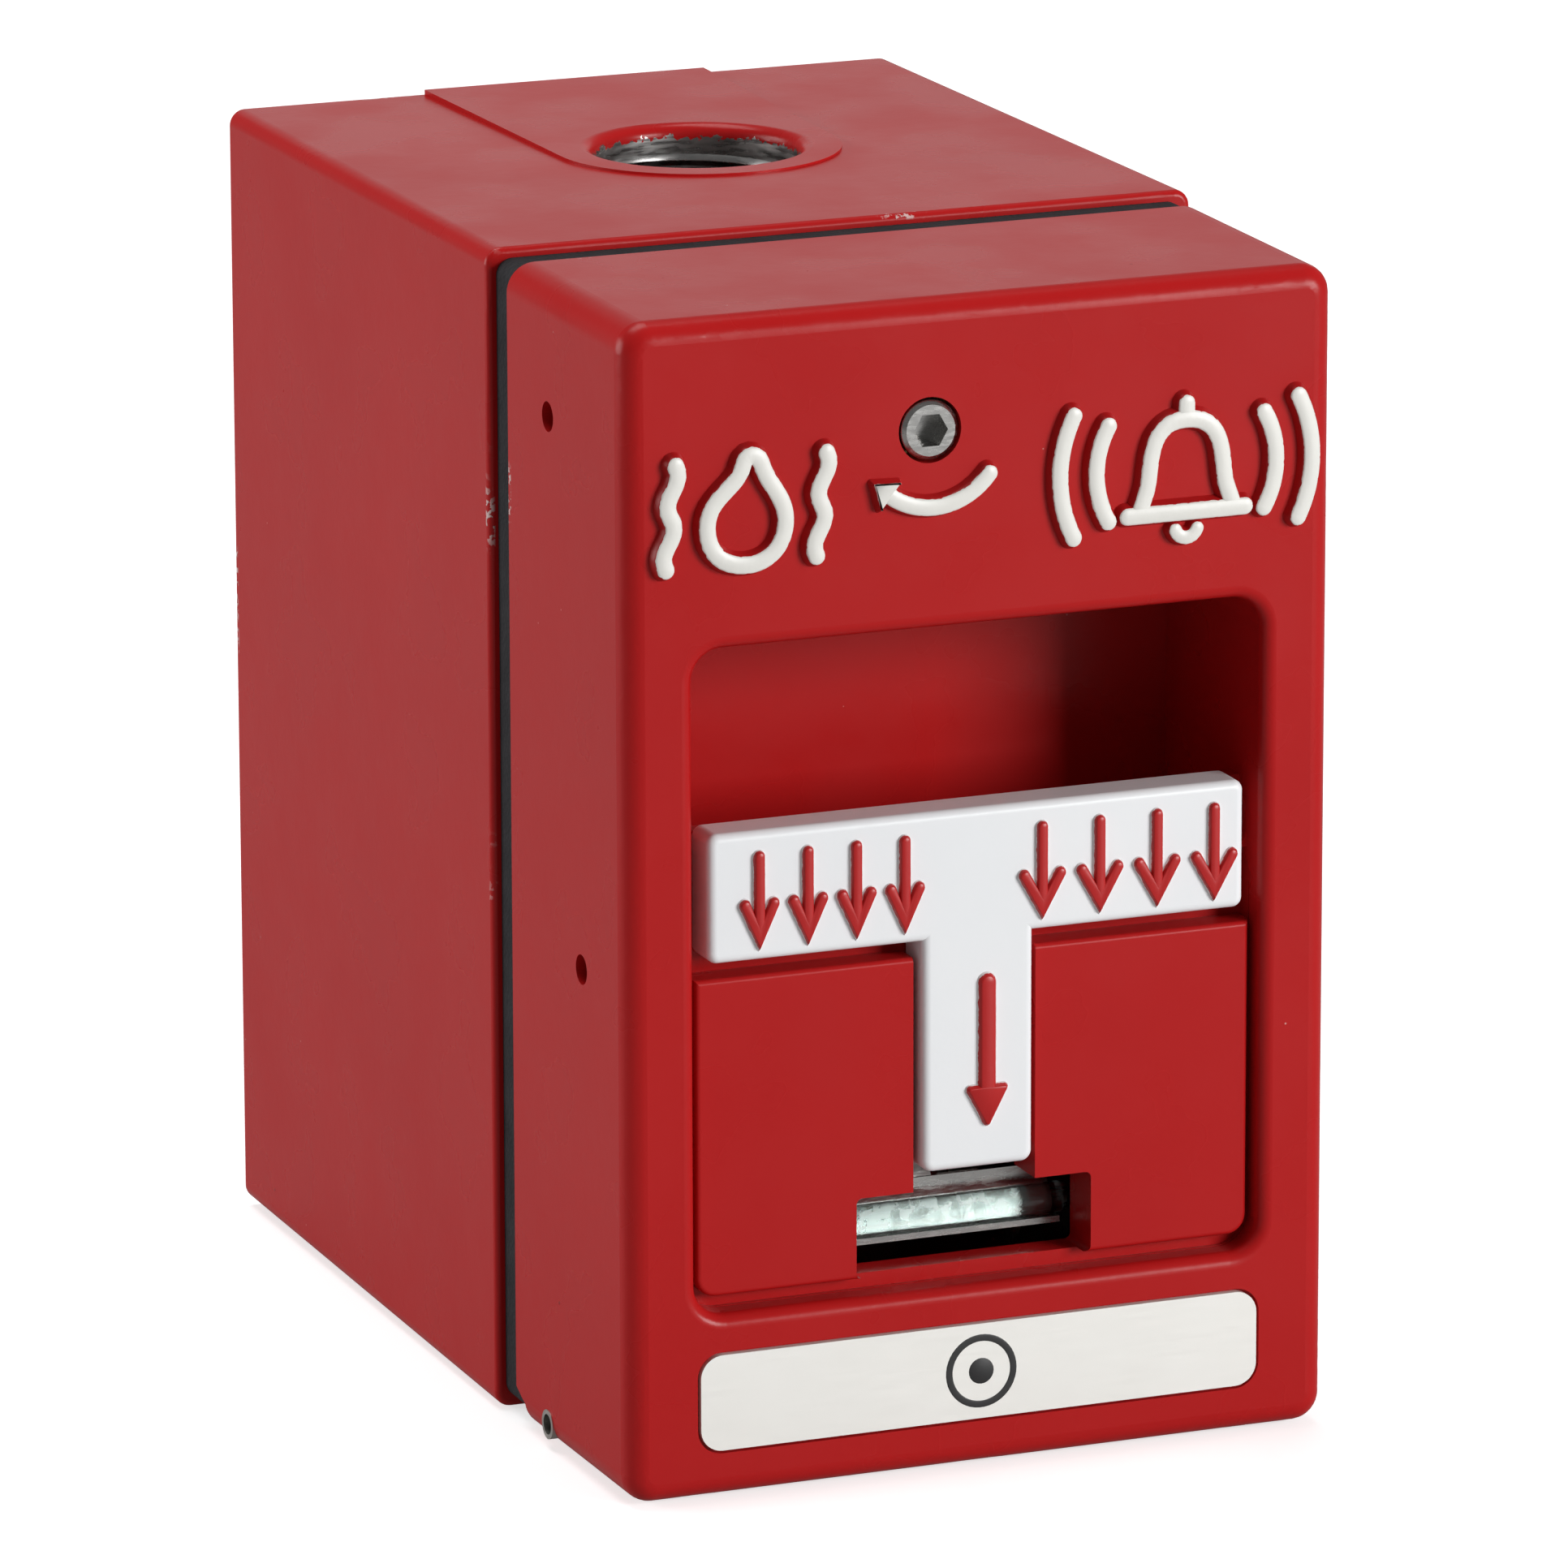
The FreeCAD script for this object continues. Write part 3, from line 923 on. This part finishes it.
def switch():
    half_x = "(switch_width / 2)"
    half_z = "(switch_height / 2)"
    case = block("switch_case_block", f"-{half_x}", half_x, f"{SWITCH_FRONT} - switch_length",
                 SWITCH_FRONT, f"-switch_z - {half_z}", f"-switch_z + {half_z}")
    ears = block("switch_ear_block", f"-({half_x} + switch_ear)", f"{half_x} + switch_ear",
                 INNER_FRONT, f"{INNER_FRONT} + switch_ear_sheet", "-switch_z - switch_ear_half",
                 "-switch_z + switch_ear_half")
    case = fuse("switch_case_fuse", case, ears)
    guide = rod("switch_guide", "plunger_stem / 2 + running_gap",
                "plunger_guide + plunger_travel + weld + past", "0",
                f"{SWITCH_FRONT} - plunger_guide - plunger_travel - weld", "-switch_z")
    case = cut("switch_case_bored", case, guide)
    for side, sign in SIDES:
        hole = rod(f"switch_hole_{side}", "switch_screw", "switch_ear_sheet + 2 * past",
                   f"{sign} * ({half_x} + switch_ear / 2)", f"{INNER_FRONT} - past",
                   "-switch_z")
        case = cut(f"switch_case_{side}", case, hole)
    keep(case, "switch_case")
    screws = [slotted_screw(f"switch_screw_{side}", "switch_screw", "switch_screw_head",
                            "switch_screw_rise",
                            "switch_ear_sheet + inner_sheet + switch_screw_past",
                            f"{sign} * ({half_x} + switch_ear / 2)",
                            f"{INNER_FRONT} + switch_ear_sheet", "-switch_z")
              for side, sign in SIDES]
    group("switch_screws", screws)
    tabs = []
    for side, sign in SIDES:
        tabs.append(block(f"switch_tab_{side}", f"{sign} * tab_x - tab_half_width",
                          f"{sign} * tab_x + tab_half_width",
                          f"{SWITCH_FRONT} - switch_length - tab_length",
                          f"{SWITCH_FRONT} - switch_length",
                          "-switch_z - tab_half_sheet", "-switch_z + tab_half_sheet"))
    group("switch_tabs", tabs)
    head_back = f"({PLUNGER_FRONT} - plunger_head_length)"
    plunger = fuse("plunger_fuse",
                   rod("plunger_head_rod", "plunger_head / 2", "plunger_head_length", "0",
                       head_back, "-switch_z"),
                   rod("plunger_stem_rod", "plunger_stem / 2",
                       f"{head_back} - {SWITCH_FRONT} + plunger_guide", "0",
                       f"{SWITCH_FRONT} - plunger_guide", "-switch_z"))
    keep(plunger, "switch_plunger")


def terminals():
    back = INNER_FRONT
    top = f"({INNER_FRONT} + block_rise)"
    case = block("terminal_case", "-block_width / 2", "block_width / 2", back, top,
                 "block_z - block_height / 2", "block_z + block_height / 2")
    screws = []
    for index in range(int(number("terminal_count"))):
        x = f"({index} - (terminal_count - 1) / 2) * terminal_pitch"
        well = rod(f"terminal_well_{index}", "terminal_radius + terminal_clear",
                   "well_depth + past", x, f"{top} - well_depth", "block_z")
        case = cut(f"terminal_case_{index}", case, well)
        entry = block(f"terminal_entry_{index}", f"{x} - entry_half", f"{x} + entry_half",
                      f"{back} + entry_low", f"{back} + entry_high",
                      "block_z - block_height / 2 - past",
                      "block_z - block_height / 2 + entry_reach")
        case = cut(f"terminal_block_{index}", case, entry)
        screws.append(slotted_screw(f"terminal_screw_{index}", "terminal_screw",
                                    "terminal_radius", "terminal_rise", "terminal_shank",
                                    x, f"{top} - well_depth", "block_z"))
        shank = rod(f"terminal_shank_hole_{index}", "terminal_screw", "terminal_shank", x,
                    f"{top} - well_depth - terminal_shank", "block_z")
        case = cut(f"terminal_bored_{index}", case, shank)
    keep(case, "terminal_block")
    group("terminal_screws", screws)


def earth_screw():
    screw = slotted_screw("earth_screw", "screw_radius", "earth_radius",
                          "screw_head_height", "box_back_wall - earth_skin - screw_clear",
                          "earth_x", "box_back_wall", "-earth_z")
    keep(screw, "earth_screw")


for make in (back_box, box_gasket, inner_plate, plate_screws, switch, terminals, earth_screw,
             cover, nameplate, hinge_pins, rod_clip, clip_screws, break_rod, lever,
             lever_hardware, lock):
    make()
    doc.recompute()

for item in doc.Objects:
    if {"Invalid", "Error"} & set(item.State):
        raise ValueError(f"{item.Name} failed: {item.State}")
for name, piece in nodes.items():
    if piece.Shape.isNull() or not piece.Shape.isValid():
        raise ValueError(f"{name} has no valid shape")

os.makedirs("parts", exist_ok=True)
for name, piece in nodes.items():
    piece.Shape.exportStep(f"parts/{name}.step")
    print(f"{name}: {len(piece.Shape.Solids)} solid(s), {piece.Shape.Volume:.0f} mm3")
